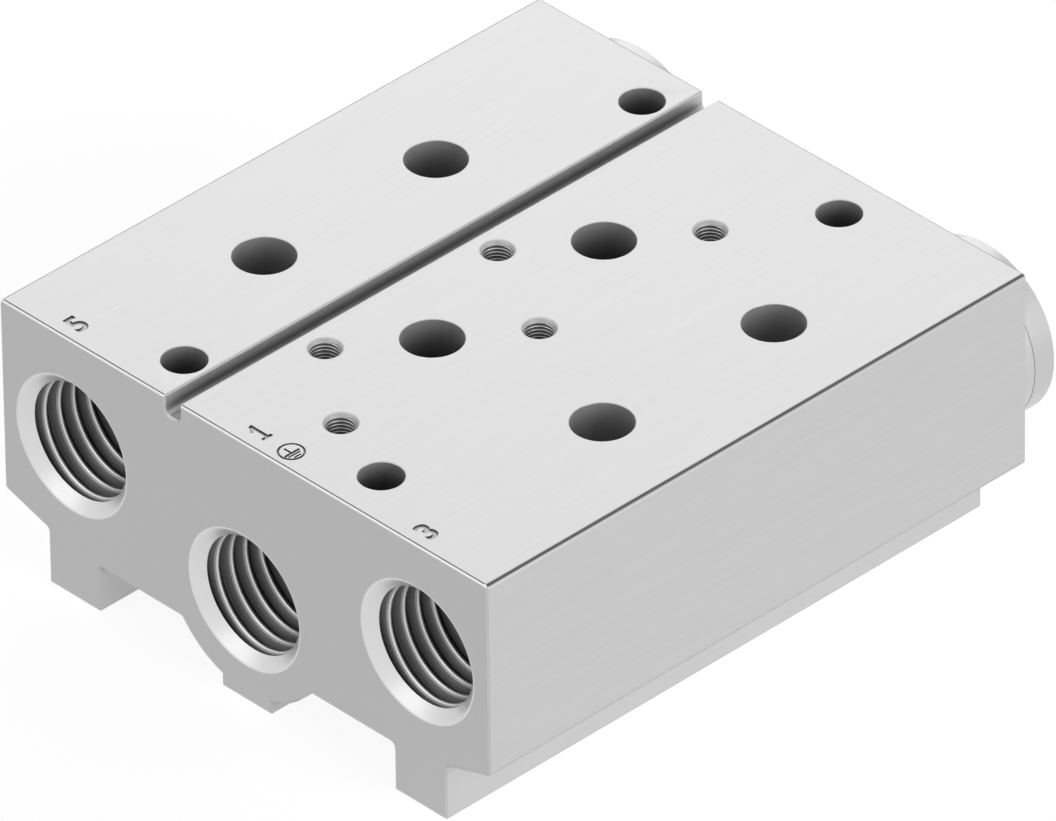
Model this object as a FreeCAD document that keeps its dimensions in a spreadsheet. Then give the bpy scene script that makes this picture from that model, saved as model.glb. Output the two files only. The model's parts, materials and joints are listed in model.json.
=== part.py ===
# Valve connection block: an extruded aluminium manifold rail for two valves.
# Three channels (5, 1 and 3) run through it. Their front ends are tapped ports, and their rear
# ends are closed by screwed plugs, each on its own sealing ring. Threads are left plain, at
# their minor diameter.
#
# Frame: X across the rail, Y along it towards the plugged end, Z up. The origin is the middle
# of the block's footprint, on the plane that its two feet and the middle pad stand on.
import FreeCAD
import Part
import Sketcher
import math
import os
import re

V = FreeCAD.Vector

# Driving sizes in millimetres, unless the note says otherwise: alias, value, note
SIZES = [
    ("block_width", 61.2, "block across the rail"),
    ("block_length", 66.0, "block along the rail, without the plugs"),
    ("block_height", 27.8, "feet to valve face"),
    ("side_foot", 7.5, "height of the side faces' lower edge"),
    ("slope_foot", 5.8, "height at which the sloped shoulder meets the foot"),
    ("feet_span", 50.2, "across the outer faces of the two feet"),
    ("foot_width", 6.5, "one foot, across"),
    ("recess_height", 4.9, "height of the underside between feet and boss"),
    ("boss_radius", 10.0, "boss around the middle channel"),
    ("pad_width", 6.3, "flat pad under the boss"),
    ("edge_round", 0.5, "rounds along the block's outer corners"),
    ("inner_round", 0.4, "rounds in the corners of the underside"),
    ("foot_round", 0.25, "rounds on the corners of feet and pad"),
    ("end_break", 0.18, "edge break round both end faces"),
    ("groove_place", 8.7, "groove's middle, left of the block's middle"),
    ("groove_width", 1.9, "groove between port 5's strip and the valve seat"),
    ("groove_depth", 1.9, "groove's depth"),
    ("groove_round", 0.6, "rounds at the groove's floor"),
    ("groove_lip", 0.2, "rounds at the groove's mouth"),
    ("port_spacing", 21.75, "outer channels from the middle one, across"),
    ("side_drop", 11.45, "valve face to the axes of channels 5 and 3"),
    ("middle_drop", 17.0, "valve face to the axis of channel 1"),
    ("channel_dia", 10.4, "channel between its tapped ends"),
    ("thread_dia", 11.4, "minor diameter of the port thread, G1/4"),
    ("mouth_dia", 13.85, "countersink at a port's mouth"),
    ("tapped_depth", 13.0, "end face to the end of the tapped bore"),
    ("drill_taper", 0.5, "length of the taper from tapped bore to channel"),
    ("valve_count", 2, "valve places, a count"),
    ("valve_pitch", 21.0, "from one valve to the next"),
    ("valve_shift", 0.65, "valve pattern right of the block's middle"),
    ("outlet_spacing", 19.5, "valve ports 5 and 3 from port 1, across"),
    ("outlet_stagger", 1.63, "valve ports 5 and 3 from port 1, along"),
    ("outlet_dia", 5.8, "bore of a valve port"),
    ("screw_across", 5.55, "valve screw from port 1, across"),
    ("screw_along", 7.65, "valve screw from port 1, along"),
    ("screw_dia", 2.5, "minor diameter of an M3 thread"),
    ("screw_mouth", 3.27, "countersink of an M3 thread"),
    ("screw_depth", 6.0, "depth of an M3 hole"),
    ("earth_across", 4.2, "earth screw right of the block's middle"),
    ("earth_inset", 8.0, "earth screw from the front end"),
    ("fixing_spacing", 24.7, "mounting holes apart, across"),
    ("fixing_inset", 5.0, "mounting holes from each end"),
    ("fixing_dia", 4.2, "mounting hole for an M4 screw"),
    ("drill_angle", 118.0, "drill point, in degrees"),
    ("countersink_angle", 90.0, "countersink of an M3 thread, in degrees"),
    ("ring_dia", 17.0, "sealing ring, outside"),
    ("ring_bore", 13.4, "sealing ring, inside, over the thread"),
    ("ring_height", 1.45, "sealing ring's thickness"),
    ("head_dia", 17.0, "plug head"),
    ("head_height", 2.65, "plug head's thickness"),
    ("head_break", 0.3, "chamfer round the head's outer edge"),
    ("shank_length", 9.0, "plug below its head"),
    ("shank_clearance", 0.05, "plug shank to bore wall, with the threads left plain"),
    ("socket_flats", 6.0, "hexagon socket across its flats"),
    ("socket_depth", 5.0, "hexagon socket's depth"),
]

ALIASES = {alias for alias, _, _ in SIZES}

doc = FreeCAD.newDocument("valve_connection_block")


def make_sheet():
    sheet = doc.addObject("Spreadsheet::Sheet", "Sizes")
    for row, (alias, value, note) in enumerate(SIZES, start=1):
        sheet.set("A%d" % row, note)
        sheet.set("B%d" % row, str(value))
        sheet.setAlias("B%d" % row, alias)
    doc.recompute()
    return sheet


sheet = make_sheet()


def cell(expression):
    """The sheet's expression with its aliases written out, such as Sizes.block_width / 2."""
    return re.sub(r"[a-z_]+", lambda word: "Sizes." + word[0] if word[0] in ALIASES else word[0], expression)


def size(expression):
    """The number that an expression of the sheet gives now."""
    result = sheet.evalExpression(cell(expression))
    return float(getattr(result, "Value", result))


def bind(feature, prop, expression):
    feature.setExpression(prop, cell(expression))


# Places that more than one feature uses, as expressions of the sheet
END = "block_length / 2"
SIDE_AXIS = "block_height - side_drop"
MIDDLE_AXIS = "block_height - middle_drop"
FIRST_VALVE = "( valve_count - 1 ) * valve_pitch / 2"
CHANNELS = {"5": ("0 - port_spacing", SIDE_AXIS), "1": ("0", MIDDLE_AXIS), "3": ("port_spacing", SIDE_AXIS)}


def new_body(label):
    body = doc.addObject("PartDesign::Body", label)
    body.Label = label
    return body


def origin_feature(body, role):
    return next(item for item in body.Origin.OriginFeatures if item.Role == role)


def new_sketch(body, role, name, height=None):
    """A sketch on one of the body's own planes, raised along its normal by an expression."""
    sketch = body.newObject("Sketcher::SketchObject", name)
    sketch.AttachmentSupport = (origin_feature(body, role), [""])
    sketch.MapMode = "FlatFace"
    if height:
        bind(sketch, "AttachmentOffset.Base.z", height)
    doc.recompute()
    return sketch


def fix_point(sketch, geometry, point, across, up):
    """Ties one point of a sketch to two expressions, measured from the sketch's origin."""
    for kind, expression in (("DistanceX", across), ("DistanceY", up)):
        value = size(expression)
        if abs(value) < 1e-9:
            axis = -2 if kind == "DistanceX" else -1
            sketch.addConstraint(Sketcher.Constraint("PointOnObject", geometry, point, axis))
            continue
        ends = (-1, 1, geometry, point) if value > 0 else (geometry, point, -1, 1)
        index = sketch.addConstraint(Sketcher.Constraint(kind, *ends, abs(value)))
        sign = "" if value > 0 else "0 - "
        bind(sketch, "Constraints[%d]" % index, sign + "( " + expression + " )")


def add_outline(sketch, corners, arcs=()):
    """A closed outline through corners given as pairs of expressions. arcs maps the index of a
    corner to the centre of the arc that runs from it to the next one, anticlockwise or not."""
    places = [V(size(across), size(up), 0) for across, up in corners]
    arcs = dict(arcs)
    for index, start in enumerate(places):
        stop = places[(index + 1) % len(places)]
        if index in arcs:
            centre = V(size(arcs[index][0]), size(arcs[index][1]), 0)
            radius = (start - centre).Length
            first = math.atan2(start.y - centre.y, start.x - centre.x)
            last = math.atan2(stop.y - centre.y, stop.x - centre.x)
            circle = Part.Circle(centre, V(0, 0, 1), radius)
            sketch.addGeometry(Part.ArcOfCircle(circle, last, first), False)
        else:
            sketch.addGeometry(Part.LineSegment(start, stop), False)
    for index in range(len(corners)):
        after = (index + 1) % len(corners)
        leave = 1 if index in arcs else 2
        enter = 2 if after in arcs else 1
        sketch.addConstraint(Sketcher.Constraint("Coincident", index, leave, after, enter))
    for index, (across, up) in enumerate(corners):
        fix_point(sketch, index, 2 if index in arcs else 1, across, up)
    for index in arcs:
        sketch.addConstraint(Sketcher.Constraint("PointOnObject", index, 3, -2))
    doc.recompute()


def add_circle(sketch, across, up, diameter):
    circle = Part.Circle(V(size(across), size(up), 0), V(0, 0, 1), size(diameter) / 2)
    index = sketch.addGeometry(circle, False)
    fix_point(sketch, index, 3, across, up)
    constraint = sketch.addConstraint(Sketcher.Constraint("Diameter", index, size(diameter)))
    bind(sketch, "Constraints[%d]" % constraint, diameter)


def long_edges(shape, spots):
    """Names of the straight edges along Y that pass through the given places in X and Z."""
    names = []
    for index, edge in enumerate(shape.Edges, start=1):
        if edge.Curve.TypeId != "Part::GeomLine" or len(edge.Vertexes) < 2:
            continue
        start, stop = (vertex.Point for vertex in edge.Vertexes)
        if abs(start.x - stop.x) > 1e-6 or abs(start.z - stop.z) > 1e-6:
            continue
        if any(abs(start.x - x) < 1e-4 and abs(start.z - z) < 1e-4 for x, z in spots):
            names.append("Edge%d" % index)
    return names


def mirrored(corners):
    spots = []
    for across, up in corners:
        spots += [(size(across), size(up)), (-size(across), size(up))]
    return spots


def add_rounds(body, name, radius, spots):
    base = body.Tip
    names = long_edges(base.Shape, spots)
    if len(names) != len(spots):
        raise ValueError("%s: %d edges for %d corners" % (name, len(names), len(spots)))
    rounds = body.newObject("PartDesign::Fillet", name)
    rounds.Base = (base, names)
    bind(rounds, "Radius", radius)
    doc.recompute()


def pad_block_profile(body):
    """The extruded section: valve face, sides, sloped shoulders, feet, boss and pad."""
    inner_foot = "feet_span / 2 - foot_width"
    boss_drop = "( " + MIDDLE_AXIS + " - recess_height )"
    boss_reach = "sqrt( boss_radius * boss_radius - " + boss_drop + " * " + boss_drop + " )"
    pad_top = MIDDLE_AXIS + " - sqrt( boss_radius * boss_radius - pad_width * pad_width / 4 )"
    half = [
        ("block_width / 2", "block_height"),
        ("block_width / 2", "side_foot"),
        ("feet_span / 2", "slope_foot"),
        ("feet_span / 2", "0"),
        (inner_foot, "0"),
        (inner_foot, "recess_height"),
        (boss_reach, "recess_height"),
        ("pad_width / 2", pad_top),
        ("pad_width / 2", "0"),
    ]
    other = [("0 - ( " + across + " )", up) for across, up in reversed(half)]
    boss_centre = ("0", MIDDLE_AXIS)
    sketch = new_sketch(body, "XZ_Plane", "block_profile")
    add_outline(sketch, half + other, {6: boss_centre, 10: boss_centre})
    pad = body.newObject("PartDesign::Pad", "block_extrusion")
    pad.Profile = sketch
    pad.SideType = "Symmetric"
    bind(pad, "Length", "block_length")
    doc.recompute()
    add_rounds(body, "outer_rounds", "edge_round", mirrored(half[0:2]))
    add_rounds(body, "underside_rounds", "inner_round", mirrored([half[2], half[5], half[6]]))
    add_rounds(body, "foot_rounds", "foot_round", mirrored([half[3], half[4], half[8]]))


def cut_groove(body):
    """The groove that runs the whole length of the valve face, with a rounded floor."""
    left = "0 - groove_place - groove_width / 2"
    right = "0 - groove_place + groove_width / 2"
    floor = "block_height - groove_depth"
    sketch = new_sketch(body, "XZ_Plane", "groove_profile")
    add_outline(sketch, [(left, floor), (right, floor), (right, "block_height"), (left, "block_height")])
    groove = body.newObject("PartDesign::Pocket", "groove_cut")
    groove.Profile = sketch
    groove.SideType = "Symmetric"
    groove.Type = "ThroughAll"
    doc.recompute()
    add_rounds(body, "groove_floor", "groove_round", [(size(left), size(floor)), (size(right), size(floor))])
    top = size("block_height")
    add_rounds(body, "groove_mouth", "groove_lip", [(size(left), top), (size(right), top)])


def break_end_edges(body):
    base = body.Tip
    faces = []
    for index, face in enumerate(base.Shape.Faces, start=1):
        if face.Surface.TypeId == "Part::GeomPlane" and abs(abs(face.CenterOfMass.y) - size(END)) < 1e-6:
            faces.append("Face%d" % index)
    chamfer = body.newObject("PartDesign::Chamfer", "end_edges")
    chamfer.Base = (base, faces)
    bind(chamfer, "Size", "end_break")
    doc.recompute()


def cut_channel(body, name, across, up):
    """One channel, turned about its axis: countersunk mouth, tapped bore, taper and channel. The section
    lies under the axis, so that the turned faces start where no drilled hole comes in."""
    sketch = new_sketch(body, "YZ_Plane", "channel_%s_section" % name, across)
    mouth = "( mouth_dia - thread_dia ) / 2"
    rear = [
        (END, up + " - mouth_dia / 2"),
        (END + " - " + mouth, up + " - thread_dia / 2"),
        (END + " - tapped_depth", up + " - thread_dia / 2"),
        (END + " - tapped_depth - drill_taper", up + " - channel_dia / 2"),
    ]
    front = [("0 - ( " + along + " )", height) for along, height in reversed(rear)]
    add_outline(sketch, [("0 - ( " + END + " )", up), (END, up)] + rear + front)
    turned = body.newObject("PartDesign::Groove", "channel_%s" % name)
    turned.Profile = sketch
    turned.ReferenceAxis = (sketch, ["Edge1"])
    turned.Angle = 360
    doc.recompute()


def drill(body, name, places, diameter, depth=None, mouth=None):
    """Holes down from the valve face: through, or blind to a drill point, with or without a countersink."""
    sketch = new_sketch(body, "XY_Plane", name + "_places", "block_height")
    for across, along in places:
        add_circle(sketch, across, along, diameter)
    doc.recompute()
    hole = body.newObject("PartDesign::Hole", name)
    hole.Profile = sketch
    doc.recompute()
    hole.ThreadType = "None"
    bind(hole, "Diameter", diameter)
    if mouth:
        hole.HoleCutType = "Countersink"
        hole.HoleCutCustomValues = True
        bind(hole, "HoleCutDiameter", mouth)
        bind(hole, "HoleCutCountersinkAngle", "countersink_angle")
    if depth:
        hole.DepthType = "Dimension"
        hole.DrillPoint = "Angled"
        bind(hole, "Depth", depth)
        bind(hole, "DrillPointAngle", "drill_angle")
    else:
        hole.DepthType = "ThroughAll"
    doc.recompute()
    return hole


def drill_valve_places(body):
    """Ports and screw holes of the rear valve, and the pattern that repeats them forwards."""
    row = FIRST_VALVE
    outer = [
        ("valve_shift - outlet_spacing", row + " - outlet_stagger"),
        ("valve_shift + outlet_spacing", row + " + outlet_stagger"),
    ]
    screws = [
        ("valve_shift - screw_across", row + " - screw_along"),
        ("valve_shift + screw_across", row + " + screw_along"),
    ]
    holes = [
        drill(body, "outer_outlets", outer, "outlet_dia", "side_drop"),
        drill(body, "middle_outlet", [("valve_shift", row)], "outlet_dia", "middle_drop"),
        drill(body, "valve_screws", screws, "screw_dia", "screw_depth", "screw_mouth"),
    ]
    pattern = body.newObject("PartDesign::LinearPattern", "valve_places")
    pattern.Originals = holes
    pattern.Direction = (origin_feature(body, "Y_Axis"), [""])
    pattern.Reversed = True
    bind(pattern, "Length", "( valve_count - 1 ) * valve_pitch")
    bind(pattern, "Occurrences", "valve_count")
    body.Tip = pattern
    doc.recompute()


def make_block():
    body = new_body("manifold_block")
    pad_block_profile(body)
    cut_groove(body)
    break_end_edges(body)
    for name, (across, up) in CHANNELS.items():
        cut_channel(body, name, across, up)
    drill_valve_places(body)
    inset = END + " - fixing_inset"
    corners = []
    for along in ("0 - ( " + inset + " )", inset):
        for side in ("0 - fixing_spacing / 2", "fixing_spacing / 2"):
            corners.append((side, along))
    drill(body, "fixing_holes", corners, "fixing_dia")
    earth = [("earth_across", "earth_inset - " + END)]
    drill(body, "earth_screw", earth, "screw_dia", "screw_depth", "screw_mouth")
    return body


def seat_on_rear(body, name, lift):
    """Turns a body's own Z axis to the rear and sets it on a channel's axis."""
    across, up = CHANNELS[name]
    body.Placement = FreeCAD.Placement(V(0, 0, 0), FreeCAD.Rotation(V(1, 0, 0), -90))
    bind(body, "Placement.Base.x", across)
    bind(body, "Placement.Base.y", END + lift)
    bind(body, "Placement.Base.z", up)
    doc.recompute()


def make_ring(name):
    """A flat ring between the block's rear face and a plug's head."""
    body = new_body("sealing_ring_%s" % name)
    sketch = new_sketch(body, "XZ_Plane", "ring_section")
    add_outline(sketch, [
        ("ring_bore / 2", "0"),
        ("ring_dia / 2", "0"),
        ("ring_dia / 2", "ring_height"),
        ("ring_bore / 2", "ring_height"),
    ])
    turned = body.newObject("PartDesign::Revolution", "ring")
    turned.Profile = sketch
    turned.ReferenceAxis = (sketch, ["V_Axis"])
    turned.Angle = 360
    doc.recompute()
    seat_on_rear(body, name, "")
    return body


def make_plug(name):
    """A screwed plug with a round head and a hexagon socket."""
    body = new_body("blanking_plug_%s" % name)
    shank = "thread_dia / 2 - shank_clearance"
    sketch = new_sketch(body, "XZ_Plane", "plug_section")
    add_outline(sketch, [
        ("0", "0 - shank_length"),
        (shank, "0 - shank_length"),
        (shank, "0"),
        ("head_dia / 2", "0"),
        ("head_dia / 2", "head_height - head_break"),
        ("head_dia / 2 - head_break", "head_height"),
        ("0", "head_height"),
    ])
    turned = body.newObject("PartDesign::Revolution", "turned_plug")
    turned.Profile = sketch
    turned.ReferenceAxis = (sketch, ["V_Axis"])
    turned.Angle = 360
    doc.recompute()
    cut_socket(body)
    seat_on_rear(body, name, " + ring_height")
    return body


def cut_socket(body):
    sketch = new_sketch(body, "XY_Plane", "socket_hexagon", "head_height")
    corners = []
    for corner in range(6):
        angle = "%d deg" % (60 * corner)
        corners.append((
            "socket_flats / sqrt( 3 ) * cos( " + angle + " )",
            "socket_flats / sqrt( 3 ) * sin( " + angle + " )",
        ))
    add_outline(sketch, corners)
    socket = body.newObject("PartDesign::Pocket", "hexagon_socket")
    socket.Profile = sketch
    bind(socket, "Length", "socket_depth")
    doc.recompute()


def check_model(pieces):
    """Stops before anything is written if a feature failed or a piece isn't one valid solid."""
    for item in doc.Objects:
        if "Invalid" in item.State or "Error" in item.State:
            raise ValueError("%s failed: %s" % (item.Label, item.State))
    for piece in pieces:
        shape = piece.Shape
        if shape.isNull() or not shape.isValid() or len(shape.Solids) != 1:
            raise ValueError("%s isn't one valid solid" % piece.Label)


def write_model(pieces):
    os.makedirs("parts", exist_ok=True)
    for piece in pieces:
        piece.Shape.exportStep("parts/%s.step" % piece.Label)
        box = piece.Shape.BoundBox
        print("%s: %.1f x %.1f x %.1f mm, %.1f mm3" % (
            piece.Label, box.XLength, box.YLength, box.ZLength, piece.Shape.Volume))


pieces = [make_block()]
for channel in CHANNELS:
    pieces.append(make_ring(channel))
    pieces.append(make_plug(channel))
doc.recompute()
check_model(pieces)
write_model(pieces)
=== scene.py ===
# Valve connection block: dresses the imported model with its threads, engraved port numbers, fine
# edge breaks, metal finishes and painted shade and highlights, and sets it on a pale floor as in the
# photograph.
import bmesh
import bpy
import json
import math
from mathutils import Matrix, Quaternion, Vector


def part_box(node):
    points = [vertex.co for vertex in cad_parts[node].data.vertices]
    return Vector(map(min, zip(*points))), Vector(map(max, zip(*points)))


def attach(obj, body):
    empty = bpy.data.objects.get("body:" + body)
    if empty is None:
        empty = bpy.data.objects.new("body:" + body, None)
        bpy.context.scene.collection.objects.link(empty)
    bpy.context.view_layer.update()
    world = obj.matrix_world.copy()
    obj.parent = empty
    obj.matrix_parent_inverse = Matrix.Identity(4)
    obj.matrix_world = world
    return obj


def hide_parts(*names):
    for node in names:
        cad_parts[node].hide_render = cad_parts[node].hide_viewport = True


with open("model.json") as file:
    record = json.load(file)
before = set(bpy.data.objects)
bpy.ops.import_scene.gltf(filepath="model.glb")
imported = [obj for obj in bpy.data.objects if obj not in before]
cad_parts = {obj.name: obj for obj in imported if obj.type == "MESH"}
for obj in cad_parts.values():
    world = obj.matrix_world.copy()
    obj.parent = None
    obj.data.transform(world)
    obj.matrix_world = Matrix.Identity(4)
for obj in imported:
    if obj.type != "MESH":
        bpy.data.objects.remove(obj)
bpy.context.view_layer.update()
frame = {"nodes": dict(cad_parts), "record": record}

MM = 0.001
MOUNTS = {mount["name"]: mount for mount in frame["record"]["mounts"]}
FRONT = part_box("manifold_block")[0].y / MM
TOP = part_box("manifold_block")[1].z / MM
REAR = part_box("manifold_block")[1].y / MM

# Camera, from the photograph's vanishing lines and hole centres: metres, degrees and millimetres of lens
AZIMUTH = 46.10
ELEVATION = 35.36
ROLL = -0.75
DISTANCE = 1.8826
AIM = Vector((-0.00411, 0.00555, 0.00960))
LENS = 726.9
SENSOR = 36
CLIP_START = 0.1
CLIP_END = 20

# Lamps: name, azimuth and elevation in degrees, distance and size in metres, power in watts
LAMPS = (
    ("key", -20, 36, 1.0, 0.8, 1.2),
    ("side", 95, 18, 1.0, 0.8, 4.46),
    ("back", 225, 32, 0.3, 0.25, 0.178),
)

# Threads in millimetres, as drawn in the photograph. Depths run inwards from a mount's place.
PORT_THREAD = {"pitch": 1.737, "crest_round": 0.14, "root_round": 0.2, "start": -0.15, "stop": 11.0,
               "crest_at": 0.29, "steps": 4, "sides": 96}
SCREW_THREAD = {"pitch": 0.37, "crest_round": 0.03, "root_round": 0.04, "start": -0.12, "stop": 5.2,
                "crest_at": 0.1, "steps": 2, "sides": 40}
FLANK_SLOPE = math.radians(50)

# Shares of the flank, from root to crest, at which its painted shade grows lighter
LIPS = (0.68, 0.88)

# How far a crest clears the bore's wall, and a cutter the surface that it starts from, in millimetres
SKIN = 0.02
OVERCUT = 0.1

# Broken edges of the block, in millimetres: how far each runs back from its corner
PORT_BREAK = 0.13
MOUTH_BREAK = 0.14
EDGE_BREAK = 0.06
BREAK_STEPS = 3

# Nearer than this, points are one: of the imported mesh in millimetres, of a digit in its own units.
# Faces that meet at less than the angle are one as well.
FORM_WELD = 0.0001
DIGIT_WELD = 0.00001
SAME_PLANE = math.radians(0.5)

# Edges of the block: sharp from this angle, on a plane within this distance, long from this length,
# and of a port's rim within this radius
SHARP = math.radians(30)
NEAR = 0.001
LONG = 1.0
PORT_RIM = 7.2

# Parts of a normal that tell the plain block's faces apart: none below the first, a chamfer's between
# the next two, level from the fourth. A rounded long corner gets painted half shade from the fifth, and
# painted dark shade between the last two.
FLAT = 0.1
CHAMFER_LOW = 0.5
CHAMFER_HIGH = 0.9
LEVEL = 0.9
HALF_SHADE_LOW = 0.4
SHADE_LOW = 0.65
SHADE_HIGH = 0.96

# Where those faces lie, in millimetres: the long corners' distance from the middle, the countersinks'
# depth, and, from an end, the reach of its own chamfers, its break's depth and a port mouth's depth
CORNER = 29.5
SINK_DEPTH = 0.5
NEAR_END = 0.5
END_BREAK = 0.2
MOUTH_DEPTH = 1.3

# Materials of the block, by their place in its list. All but the first and last are painted shade or
# highlight.
MAIN = 0
EDGE_SHADE = 1
PAINTED_HIGHLIGHT = 2
HALF_SHADE = 3
FLANK_SHADE = 4
ENGRAVING = 5

# Finish of the metal. The painted highlight strips are more metallic.
METALLIC = 0.4
METALLIC_HIGHLIGHT = 0.6
ROUGHNESS = 0.38

# Painted shade in hollows, darker where a spot is closed in: reach in millimetres, the openness at which
# it is darkest, the openness from which it is unshaded, and the share of the tone that is left where it
# is darkest
HOLLOW_SHADE = ((1.2, 0.35, 0.9, 0.15), (8.0, 0.2, 0.5, 0.15))
FLANK_HOLLOW_SHADE = ((1.2, 0.6, 1.0, 0.25), (8.0, 0.1, 0.7, 0.3))
HIGHLIGHT_HOLLOW_SHADE = ((8.0, 0.1, 0.5, 0.45),)
ENGRAVING_HOLLOW_SHADE = ((0.2, 0.6, 0.95, 0.2),)
# The plugs and rings get the same painted shade at their seams with other parts
SEAM_SHADE = (0.5, 0.35, 0.8, 0.15)
HOLLOW_SHADE_SAMPLES = 6

# Brushed streaks: how fine they are along X, Y and Z, per metre, the range of noise used, and their bump
STREAKS = (6000, 90, 6000)
STREAK_LOW = 0.3
STREAK_HIGH = 0.7
STREAK_BUMP = 0.15

# Turned rings: how fine they are and their bump. Both kinds of marks are this deep, in metres.
TURNED_RINGS = 160
TURNED_BUMP = 0.2
MARK_DEPTH = 0.00002

# Broken edges of the plugs and rings: width in millimetres, steps, and the angle that makes an edge sharp
TURNED_BREAK = 0.11
TURNED_STEPS = 2
TURNED_SHARP = math.radians(40)

# Strength of the world for light that the metal scatters, and the floor's tone, own light and half width
SOFT_WORLD = 0.12
FLOOR_TONE = 0.4
FLOOR_GLOW = 0.85
FLOOR_HALF = 3.0

# Engraving on the valve face, in millimetres
ENGRAVED = 0.15
DIGIT_HEIGHT = 2.47
DIGIT_BOLD = 0.035
DIGIT_STEPS = 4
DIGIT_PLACES = {"5": (-22.97, 2.11), "3": (21.02, 2.04)}
ONE_PLACE = (0.12, 2.05)
EARTH_PLACE = (4.22, 2.03)

# Protective earth sign, in millimetres: its ring, the stem's ends with its shift to one side, the long
# bar's back and ends, and the two shorter bars' places and ends
EARTH_RADIUS = 1.28
EARTH_LINE = 0.22
EARTH_STEPS = 48
EARTH_STEM = (-0.76, 0.06)
EARTH_SHIFT = 0.15
EARTH_LONG_BAR = (0.3, -0.85, 0.95)
EARTH_SHORT_BARS = ((0.48, -0.85, 0.61), (0.83, -0.48, 0.37))
EARTH_BAR = 0.18


def add_object(name, data):
    item = bpy.data.objects.new(name, data)
    bpy.context.scene.collection.objects.link(item)
    return item


def mesh_from(bm, name):
    """A new mesh. The bmesh is used up."""
    mesh = bpy.data.meshes.new(name)
    bm.to_mesh(mesh)
    bm.free()
    return mesh


def face_outwards(bm):
    bmesh.ops.recalc_face_normals(bm, faces=bm.faces)
    if bm.calc_volume(signed=True) < 0:
        bmesh.ops.reverse_faces(bm, faces=bm.faces)


def welded_copy(node):
    """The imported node's form in millimetres, as one closed mesh without its stored normals."""
    source = frame["nodes"][node].data
    mesh = bpy.data.meshes.new(node + "_form")
    corners = [vertex.co / MM for vertex in source.vertices]
    faces = [face.vertices[:] for face in source.polygons]
    mesh.from_pydata(corners, [], faces)
    bm = bmesh.new()
    bm.from_mesh(mesh)
    bpy.data.meshes.remove(mesh)
    bmesh.ops.remove_doubles(bm, verts=bm.verts, dist=FORM_WELD)
    return bm


def outer_edges(bm, axis, level):
    """The sharp outer edges that lie in one plane, given by an axis and its level."""
    return [
        edge for edge in bm.edges
        if edge.is_manifold and edge.is_convex and edge.calc_face_angle() > SHARP
        and all(abs(vertex.co[axis] - level) < NEAR for vertex in edge.verts)
    ]


def round_edges(bm, edges, width, strip_tone):
    """Rounds edges by a width in millimetres and gives the new faces a material, which may be a painted
    shade or highlight.
    """
    made = bmesh.ops.bevel(
        bm, geom=edges, affect="EDGES", offset=width, offset_type="OFFSET", segments=BREAK_STEPS,
        profile=0.5, clamp_overlap=True)
    for face in made["faces"]:
        face.material_index = strip_tone


def near_port(edge):
    middle = (edge.verts[0].co + edge.verts[1].co) / 2
    ports = [Vector(mount["pos_m"]) / MM for name, mount in MOUNTS.items() if name.startswith("port_")]
    return any(math.hypot(middle.x - port.x, middle.z - port.z) < PORT_RIM for port in ports)


def painted_tone_of(face):
    """The material of a face of the plain block, by its normal and place: painted shade and highlights on
    edges and chamfers.
    """
    along, up = face.normal.yz
    across = abs(face.normal.x)
    middle = face.calc_center_median()
    inset = middle.y - FRONT
    near_top = middle.z > TOP - SINK_DEPTH
    runs_along = abs(along) < FLAT and across > FLAT

    # Long upper corners: painted dark shade and half shade on their rounds
    if near_top and runs_along and abs(middle.x) > CORNER:
        if SHADE_LOW < up < SHADE_HIGH:
            return EDGE_SHADE
        return HALF_SHADE if HALF_SHADE_LOW < up <= SHADE_LOW else MAIN

    # Chamfers at the valve face: those of its ends get a painted highlight, the countersinks painted half
    # shade
    if near_top and CHAMFER_LOW < up < CHAMFER_HIGH:
        return PAINTED_HIGHLIGHT if inset < NEAR_END or middle.y > REAR - NEAR_END else HALF_SHADE

    # Undersides of the shoulders and rounds, and the front's lower chamfers: painted half shade
    if -CHAMFER_HIGH < up < -FLAT and runs_along:
        return HALF_SHADE
    if up < -CHAMFER_LOW and along < -CHAMFER_LOW and inset < END_BREAK:
        return HALF_SHADE

    # Countersinks of the ports: painted highlight
    if -CHAMFER_HIGH < along < -CHAMFER_LOW and END_BREAK < inset < MOUTH_DEPTH:
        return PAINTED_HIGHLIGHT
    return MAIN


def break_edges(bm):
    """Gives the plain block's faces painted shade and highlights, and rounds it at the ports, the screw
    holes and its ends.
    """
    bmesh.ops.dissolve_limit(bm, angle_limit=SAME_PLANE, verts=bm.verts, edges=bm.edges)
    for face in bm.faces:
        face.material_index = painted_tone_of(face)
    round_edges(bm, [edge for edge in outer_edges(bm, 1, FRONT) if near_port(edge)], PORT_BREAK, PAINTED_HIGHLIGHT)
    at_top = outer_edges(bm, 2, TOP)
    round_edges(bm, [edge for edge in at_top if edge.calc_length() < LONG], MOUTH_BREAK, MAIN)
    at_top = outer_edges(bm, 2, TOP)
    across = [edge for edge in at_top if abs(edge.verts[0].co.x - edge.verts[1].co.x) > LONG]
    round_edges(bm, across, EDGE_BREAK, EDGE_SHADE)


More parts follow.
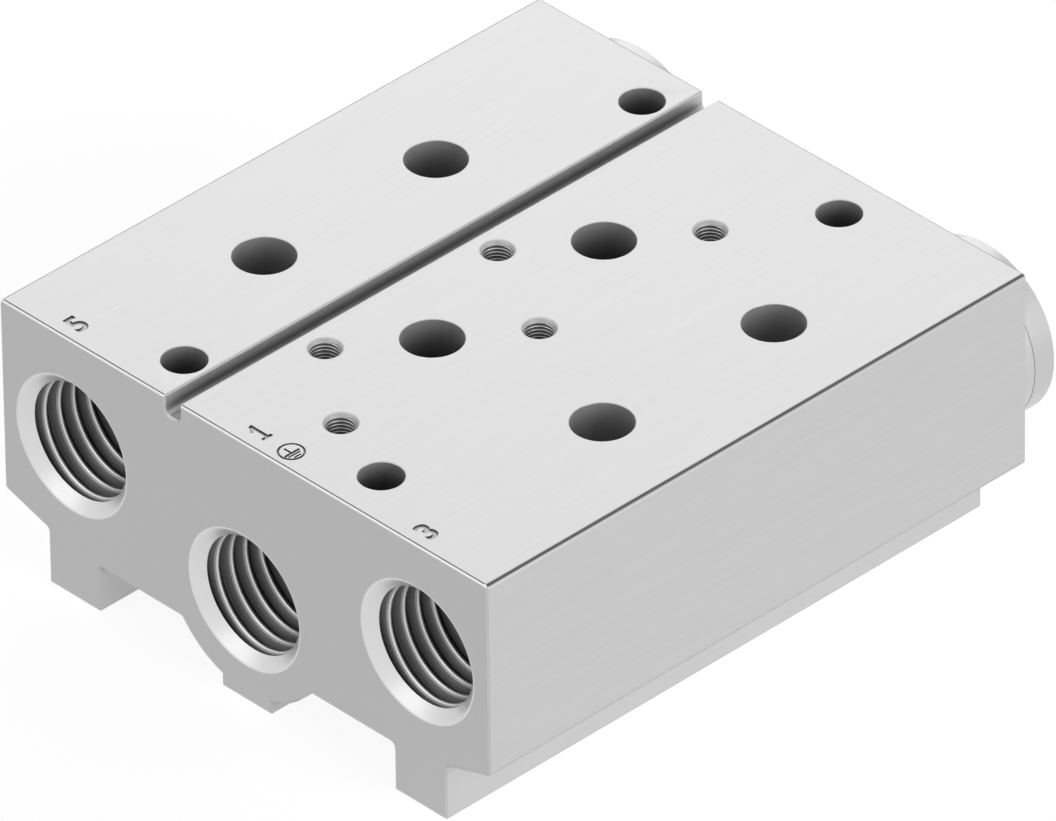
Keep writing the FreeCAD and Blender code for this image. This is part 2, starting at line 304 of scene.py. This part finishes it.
def thread_profile(bore, thread):
    """One turn's section: pairs of (place along the axis, radius). Crest first, then root and lips."""
    crest = bore + SKIN
    crest_round = thread["crest_round"]
    root_round = thread["root_round"]
    half = thread["pitch"] / 2
    flank = half - (crest_round + root_round) * math.sin(FLANK_SLOPE)
    rounded = (crest_round + root_round) * (1 - math.cos(FLANK_SLOPE))
    root = crest + rounded + flank * math.tan(FLANK_SLOPE)
    steps = thread["steps"]
    points = []
    for step in range(steps + 1):
        angle = FLANK_SLOPE * (2 * step / steps - 1)
        points.append((crest_round * math.sin(angle), crest + crest_round * (1 - math.cos(angle))))
    for step in range(steps + 1):
        angle = FLANK_SLOPE * (2 * step / steps - 1)
        points.append((half + root_round * math.sin(angle), root - root_round * (1 - math.cos(angle))))
    lip = points[0]
    foot = points[-1]
    for share in LIPS:
        along = foot[0] + (lip[0] + thread["pitch"] - foot[0]) * share
        points.append((along, foot[1] + (lip[1] - foot[1]) * share))
    return points


def trim(bm, height, keep_below):
    """Cuts a tube square at a height and closes it there."""
    cut = bmesh.ops.bisect_plane(
        bm, geom=bm.verts[:] + bm.edges[:] + bm.faces[:], plane_co=(0, 0, height), plane_no=(0, 0, 1),
        clear_outer=keep_below, clear_inner=not keep_below)
    edges = [item for item in cut["geom_cut"] if isinstance(item, bmesh.types.BMEdge)]
    bmesh.ops.holes_fill(bm, edges=edges, sides=0)


def thread_painted_tone(step, thread):
    """The painted tone of one strip of a turn: highlight round the crest, shade on the flank. The last
    two climb from the lips to the next crest.
    """
    last = 2 * thread["steps"] + 1 + len(LIPS)
    if step < thread["steps"] or step == last:
        return PAINTED_HIGHLIGHT
    return HALF_SHADE if step == last - 1 else FLANK_SHADE


def thread_cutter(bore, thread):
    """A right-handed screw form about Z, which points out of the hole."""
    profile = thread_profile(bore, thread)
    pitch = thread["pitch"]
    sides = thread["sides"]
    first = math.floor((thread["start"] - thread["crest_at"]) / pitch) - 1
    last = math.ceil((thread["stop"] - thread["crest_at"]) / pitch) + 2
    rows = [(turn * pitch + along, radius) for turn in range(first, last) for along, radius in profile]
    bm = bmesh.new()
    columns = []
    for side in range(sides):
        angle = 2 * math.pi * side / sides
        lead = thread["crest_at"] - pitch * side / sides
        column = [
            bm.verts.new((radius * math.cos(angle), radius * math.sin(angle), -(along + lead)))
            for along, radius in rows
        ]
        columns.append(column)
    for side in range(sides):
        shift = len(profile) if side == sides - 1 else 0
        here = columns[side]
        there = columns[(side + 1) % sides]
        for row in range(shift, len(rows) - 1):
            face = bm.faces.new((here[row], here[row + 1], there[row + 1 - shift], there[row - shift]))
            face.material_index = thread_painted_tone(row % len(profile), thread)
    trim(bm, -thread["start"], True)
    trim(bm, -thread["stop"], False)
    face_outwards(bm)
    return bm


def slab_cutter(outline):
    """A flat plate as deep as the engraving, through corners given in X and Y."""
    bm = bmesh.new()
    face = bm.faces.new([bm.verts.new((x, y, -ENGRAVED)) for x, y in outline])
    lift = bmesh.ops.extrude_face_region(bm, geom=[face])
    top = [item for item in lift["geom"] if isinstance(item, bmesh.types.BMVert)]
    bmesh.ops.translate(bm, verts=top, vec=(0, 0, ENGRAVED + OVERCUT))
    face_outwards(bm)
    return bm


def digit_cutter(digit):
    """A port number as a plate, its middle at the origin and its head towards -X."""
    curve = bpy.data.curves.new("digit_" + digit, "FONT")
    curve.body = digit
    curve.extrude = 0.5
    curve.offset = DIGIT_BOLD
    curve.resolution_u = DIGIT_STEPS
    text = add_object("digit_" + digit, curve)
    bpy.context.view_layer.update()
    mesh = bpy.data.meshes.new_from_object(text)
    bpy.data.objects.remove(text)
    bm = bmesh.new()
    bm.from_mesh(mesh)
    bmesh.ops.remove_doubles(bm, verts=bm.verts, dist=DIGIT_WELD)
    low = Vector([min(vertex.co[axis] for vertex in bm.verts) for axis in range(3)])
    high = Vector([max(vertex.co[axis] for vertex in bm.verts) for axis in range(3)])
    scale = DIGIT_HEIGHT / (high.y - low.y)
    centre = (low + high) / 2
    for vertex in bm.verts:
        across, up, level = vertex.co - centre
        vertex.co = (-up * scale, across * scale, OVERCUT if level > 0 else -ENGRAVED)
    face_outwards(bm)
    return bm


def one_cutter():
    """The port number 1, with a flag and a foot, its middle at the origin and its head towards -X."""
    half = DIGIT_HEIGHT / 2
    foot = 0.57
    foot_top = -0.86
    left = -0.1
    right = 0.29
    flag = [(-0.22, 0.93), (-0.38, 0.68), (-0.62, 0.48), (-0.48, 0.24), (-0.28, 0.36)]
    outline = [
        (-foot, -half), (foot, -half), (foot, foot_top), (right, foot_top), (right, half),
        (left - 0.02, half), *flag, (left, 0.55), (left, foot_top), (-foot, foot_top),
    ]
    return slab_cutter([(-up, across) for across, up in outline])


def earth_cutters():
    """The protective earth sign, its ring about the origin and its stem's foot towards -X."""
    half = EARTH_LINE / 2
    ring = bmesh.new()
    bands = []
    for radius in (EARTH_RADIUS, EARTH_RADIUS - EARTH_LINE):
        for level in (-ENGRAVED, OVERCUT):
            bands.append([
                ring.verts.new((radius * math.cos(turn), radius * math.sin(turn), level))
                for turn in (2 * math.pi * step / EARTH_STEPS for step in range(EARTH_STEPS))
            ])
    lower_outer, upper_outer, lower_inner, upper_inner = bands
    loop = [lower_outer, upper_outer, upper_inner, lower_inner]
    for step in range(EARTH_STEPS):
        after = (step + 1) % EARTH_STEPS
        for band in range(len(loop)):
            one = loop[band]
            two = loop[(band + 1) % len(loop)]
            ring.faces.new((one[step], one[after], two[after], two[step]))
    face_outwards(ring)
    foot, head = EARTH_STEM
    back, low, high = EARTH_LONG_BAR
    stem = [
        (foot, -half), (head, -half), (head, low), (back, low), (back, high), (head, high), (head, half),
        (foot, half),
    ]
    cutters = [ring, slab_cutter([(across, along - EARTH_SHIFT) for across, along in stem])]
    for across, low, high in EARTH_SHORT_BARS:
        near = across - EARTH_BAR / 2
        far = across + EARTH_BAR / 2
        cutters.append(slab_cutter([(near, low), (far, low), (far, high), (near, high)]))
    return cutters


def out_of_hole(mount):
    """The place of a mount in millimetres, with Z along its axis and X kept."""
    outward = Vector(mount["axis"])
    across = Vector((1, 0, 0))
    turn = Matrix((across, outward.cross(across), outward)).transposed().to_4x4()
    return Matrix.Translation(Vector(mount["pos_m"]) / MM) @ turn


def all_cutters():
    """Pairs of a cutter and its place, for the threads and the engraving."""
    cutters = []
    for name, mount in MOUNTS.items():
        if mount["kind"] == "threaded_hole":
            thread = PORT_THREAD if name.startswith("port_") else SCREW_THREAD
            cutters.append((thread_cutter(mount["dims"]["r_mm"], thread), out_of_hole(mount)))
    for digit, (across, inset) in DIGIT_PLACES.items():
        cutters.append((digit_cutter(digit), Matrix.Translation((across, FRONT + inset, TOP))))
    cutters.append((one_cutter(), Matrix.Translation((ONE_PLACE[0], FRONT + ONE_PLACE[1], TOP))))
    place = Matrix.Translation((EARTH_PLACE[0], FRONT + EARTH_PLACE[1], TOP))
    for cutter in earth_cutters():
        cutters.append((cutter, place))
    return cutters


def joined(cutters):
    """All the cutters as one mesh. They don't overlap."""
    whole = bmesh.new()
    for cutter, place in cutters:
        bmesh.ops.transform(cutter, matrix=place, verts=cutter.verts)
        mesh = mesh_from(cutter, "cutter")
        whole.from_mesh(mesh)
        bpy.data.meshes.remove(mesh)
    return mesh_from(whole, "cutters")


def make_block(materials):
    """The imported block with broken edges, threads and engraving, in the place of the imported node."""
    bm = welded_copy("manifold_block")
    break_edges(bm)
    bmesh.ops.triangulate(bm, faces=bm.faces)
    piece = add_object("block", mesh_from(bm, "block"))
    for material in materials:
        piece.data.materials.append(material)
    tool = add_object("cutters", joined(all_cutters()))
    for material in materials:
        tool.data.materials.append(material)
    modifier = piece.modifiers.new("machining", "BOOLEAN")
    modifier.operation = "DIFFERENCE"
    modifier.solver = "MANIFOLD"
    modifier.object = tool
    depsgraph = bpy.context.evaluated_depsgraph_get()
    mesh = bpy.data.meshes.new_from_object(piece.evaluated_get(depsgraph))
    if len(mesh.polygons) == len(piece.data.polygons):
        raise RuntimeError("The cutters did not cut the block.")
    for face in mesh.polygons:
        if face.normal.z > LEVEL and abs(face.center.z - TOP + ENGRAVED) < NEAR:
            face.material_index = ENGRAVING
    piece.modifiers.clear()
    piece.data = mesh
    bpy.data.objects.remove(tool)
    mesh.transform(Matrix.Scale(MM, 4))
    mesh.shade_smooth()
    mesh.set_sharp_from_angle(angle=SHARP)
    normals = piece.modifiers.new("flat_faces_stay_flat", "WEIGHTED_NORMAL")
    normals.keep_sharp = True
    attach(piece, "root")
    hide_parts("manifold_block")
    return piece


def new_material(name, tone, metallic, roughness):
    material = bpy.data.materials.new(name)
    material.use_nodes = True
    shader = material.node_tree.nodes["Principled BSDF"]
    shader.inputs["Base Color"].default_value = (tone, tone, tone, 1)
    shader.inputs["Metallic"].default_value = metallic
    shader.inputs["Roughness"].default_value = roughness
    return material, material.node_tree.nodes, material.node_tree.links, shader


def add_node(nodes, kind, **values):
    node = nodes.new(kind)
    for name, value in values.items():
        if name in node.inputs:
            node.inputs[name].default_value = value
        else:
            setattr(node, name, value)
    return node


def openness(nodes, links, hollow_shade_numbers, unshaded, only_local):
    """A value that falls from the unshaded one where the surface is closed in, by a hollow shade's
    numbers: painted shade.
    """
    reach, closed_at, open_at, left = hollow_shade_numbers
    closed = nodes.new("ShaderNodeAmbientOcclusion")
    closed.samples = HOLLOW_SHADE_SAMPLES
    closed.only_local = only_local
    closed.inputs["Distance"].default_value = reach * MM
    depth = nodes.new("ShaderNodeMapRange")
    depth.inputs["From Min"].default_value = closed_at
    depth.inputs["From Max"].default_value = open_at
    depth.inputs["To Min"].default_value = left * unshaded
    depth.inputs["To Max"].default_value = unshaded
    links.new(closed.outputs["AO"], depth.inputs["Value"])
    return depth.outputs["Result"]


def block_material(name, dark, light, hollow_shades=HOLLOW_SHADE, metallic=METALLIC):
    """Brushed along the rail, with streaks between two tones, and painted darker where the surface is
    closed in: painted shade in hollows.
    """
    material, nodes, links, shader = new_material(name, light, metallic, ROUGHNESS)
    place = nodes.new("ShaderNodeTexCoord")
    stretch = nodes.new("ShaderNodeMapping")
    stretch.inputs["Scale"].default_value = STREAKS
    links.new(place.outputs["Object"], stretch.inputs["Vector"])
    streaks = add_node(nodes, "ShaderNodeTexNoise", Scale=1.0, Detail=3.0, Roughness=0.6)
    links.new(stretch.outputs["Vector"], streaks.inputs["Vector"])
    tone = nodes.new("ShaderNodeMapRange")
    tone.inputs["From Min"].default_value = STREAK_LOW
    tone.inputs["From Max"].default_value = STREAK_HIGH
    tone.inputs["To Min"].default_value = dark
    tone.inputs["To Max"].default_value = light
    links.new(streaks.outputs["Fac"], tone.inputs["Value"])
    shade = tone.outputs["Result"]
    for hollow_shade_numbers in hollow_shades:
        depth = openness(nodes, links, hollow_shade_numbers, 1.0, True)
        shaded = nodes.new("ShaderNodeMath")
        shaded.operation = "MULTIPLY"
        links.new(shade, shaded.inputs[0])
        links.new(depth, shaded.inputs[1])
        shade = shaded.outputs["Value"]
    links.new(shade, shader.inputs["Base Color"])
    bump = nodes.new("ShaderNodeBump")
    bump.inputs["Strength"].default_value = STREAK_BUMP
    bump.inputs["Distance"].default_value = MARK_DEPTH
    links.new(streaks.outputs["Fac"], bump.inputs["Height"])
    links.new(bump.outputs["Normal"], shader.inputs["Normal"])
    return material


def turned_material(name, tone, roughness):
    """Turned metal: fine rings about the piece's own middle, and painted shade at the seams."""
    material, nodes, links, shader = new_material(name, tone, METALLIC, roughness)
    links.new(openness(nodes, links, SEAM_SHADE, tone, False), shader.inputs["Base Color"])
    place = nodes.new("ShaderNodeTexCoord")
    middle = nodes.new("ShaderNodeVectorMath")
    middle.operation = "SUBTRACT"
    middle.inputs[1].default_value = (0.5, 0.5, 0.5)
    links.new(place.outputs["Generated"], middle.inputs[0])
    flat = nodes.new("ShaderNodeVectorMath")
    flat.operation = "MULTIPLY"
    flat.inputs[1].default_value = (1, 0, 1)
    links.new(middle.outputs["Vector"], flat.inputs[0])
    radius = nodes.new("ShaderNodeVectorMath")
    radius.operation = "LENGTH"
    links.new(flat.outputs["Vector"], radius.inputs[0])
    rings = add_node(nodes, "ShaderNodeTexNoise", noise_dimensions="1D", Scale=1.0, Detail=2.0)
    fine = nodes.new("ShaderNodeMath")
    fine.operation = "MULTIPLY"
    fine.inputs[1].default_value = TURNED_RINGS
    links.new(radius.outputs["Value"], fine.inputs[0])
    links.new(fine.outputs["Value"], rings.inputs["W"])
    bump = nodes.new("ShaderNodeBump")
    bump.inputs["Strength"].default_value = TURNED_BUMP
    bump.inputs["Distance"].default_value = MARK_DEPTH
    links.new(rings.outputs["Fac"], bump.inputs["Height"])
    links.new(bump.outputs["Normal"], shader.inputs["Normal"])
    return material


def dress_node(node, material):
    """The node's own form, with its sharp edges broken."""
    item = frame["nodes"][node]
    weld = item.modifiers.new("weld", "WELD")
    weld.merge_threshold = NEAR * MM
    edges = item.modifiers.new("edge_breaks", "BEVEL")
    edges.width = TURNED_BREAK * MM
    edges.segments = TURNED_STEPS
    edges.limit_method = "ANGLE"
    edges.angle_limit = TURNED_SHARP
    normals = item.modifiers.new("flat_faces_stay_flat", "WEIGHTED_NORMAL")
    normals.keep_sharp = True
    item.data.materials.clear()
    item.data.materials.append(material)


def background_rays(nodes, links):
    """1 for the rays by which the camera, metal and glass see the background, and otherwise 0."""
    rays = nodes.new("ShaderNodeLightPath")
    shown = rays.outputs["Is Camera Ray"]
    for kind in ("Is Glossy Ray", "Is Transmission Ray"):
        either = nodes.new("ShaderNodeMath")
        either.operation = "MAXIMUM"
        links.new(shown, either.inputs[0])
        links.new(rays.outputs[kind], either.inputs[1])
        shown = either.outputs["Value"]
    return shown


def make_floor():
    """A pale floor that keeps the object's shadow. The camera and the metal see it white."""
    bm = bmesh.new()
    bmesh.ops.create_grid(bm, x_segments=1, y_segments=1, size=FLOOR_HALF)
    floor = add_object("floor", mesh_from(bm, "floor"))
    material = bpy.data.materials.new("floor")
    material.use_nodes = True
    nodes = material.node_tree.nodes
    links = material.node_tree.links
    nodes.clear()
    output = nodes.new("ShaderNodeOutputMaterial")
    matte = nodes.new("ShaderNodeBsdfDiffuse")
    matte.inputs["Color"].default_value = (FLOOR_TONE, FLOOR_TONE, FLOOR_TONE, 1)
    glow = nodes.new("ShaderNodeEmission")
    glow.inputs["Color"].default_value = (FLOOR_GLOW, FLOOR_GLOW, FLOOR_GLOW, 1)
    links.new(background_rays(nodes, links), glow.inputs["Strength"])
    both = nodes.new("ShaderNodeAddShader")
    links.new(matte.outputs["BSDF"], both.inputs[0])
    links.new(glow.outputs["Emission"], both.inputs[1])
    links.new(both.outputs["Shader"], output.inputs["Surface"])
    floor.data.materials.append(material)


def make_world():
    """White for the camera and the metal, and soft for the light that the object scatters."""
    world = bpy.data.worlds.new("studio")
    bpy.context.scene.world = world
    world.use_nodes = True
    nodes = world.node_tree.nodes
    links = world.node_tree.links
    nodes.clear()
    output = nodes.new("ShaderNodeOutputWorld")
    soft = nodes.new("ShaderNodeBackground")
    soft.inputs["Color"].default_value = (1, 1, 1, 1)
    soft.inputs["Strength"].default_value = SOFT_WORLD
    white = nodes.new("ShaderNodeBackground")
    white.inputs["Color"].default_value = (1, 1, 1, 1)
    white.inputs["Strength"].default_value = 1.0
    mix = nodes.new("ShaderNodeMixShader")
    links.new(background_rays(nodes, links), mix.inputs["Fac"])
    links.new(soft.outputs["Background"], mix.inputs[1])
    links.new(white.outputs["Background"], mix.inputs[2])
    links.new(mix.outputs["Shader"], output.inputs["Surface"])


def direction(azimuth, elevation):
    """The way from the object to a lamp or the camera, in degrees. Azimuth 0 is in front, 90 right."""
    turn = math.radians(azimuth)
    rise = math.radians(elevation)
    return Vector((math.sin(turn) * math.cos(rise), -math.cos(turn) * math.cos(rise), math.sin(rise)))


def add_lamp(name, azimuth, elevation, distance, size, power):
    """A square soft light aimed at the object."""
    lamp = bpy.data.lights.new(name, "AREA")
    lamp.size = size
    lamp.energy = power
    item = add_object(name, lamp)
    away = direction(azimuth, elevation)
    item.location = away * distance
    item.rotation_mode = "QUATERNION"
    item.rotation_quaternion = away.to_track_quat("Z", "Y")


def make_camera():
    lens = bpy.data.cameras.new("camera")
    lens.lens = LENS
    lens.sensor_width = SENSOR
    lens.clip_start = CLIP_START
    lens.clip_end = CLIP_END
    item = add_object("camera", lens)
    back = direction(AZIMUTH, ELEVATION)
    item.rotation_mode = "QUATERNION"
    item.rotation_quaternion = back.to_track_quat("Z", "Y") @ Quaternion((0, 0, 1), math.radians(ROLL))
    item.location = AIM + back * DISTANCE
    bpy.context.scene.camera = item


bpy.context.scene.view_settings.view_transform = "Standard"
make_block([
    block_material("block_aluminium", 0.77, 0.81),
    # Painted shade and painted highlights on edges, chamfers and thread flanks, standing in for light and
    # shade
    block_material("block_edge_shade", 0.12, 0.16),
    block_material("block_painted_highlight", 0.92, 0.96, HIGHLIGHT_HOLLOW_SHADE, METALLIC_HIGHLIGHT),
    block_material("block_half_shade", 0.56, 0.64),
    block_material("block_flank_shade", 0.3, 0.36, FLANK_HOLLOW_SHADE),
    block_material("block_engraving", 0.56, 0.62, ENGRAVING_HOLLOW_SHADE),
])
plug_metal = turned_material("plug_metal", 0.78, 0.28)
ring_metal = turned_material("ring_metal", 0.8, 0.3)
for port in ("5", "1", "3"):
    dress_node("blanking_plug_" + port, plug_metal)
    dress_node("sealing_ring_" + port, ring_metal)
make_floor()
make_world()
for lamp in LAMPS:
    add_lamp(*lamp)
make_camera()
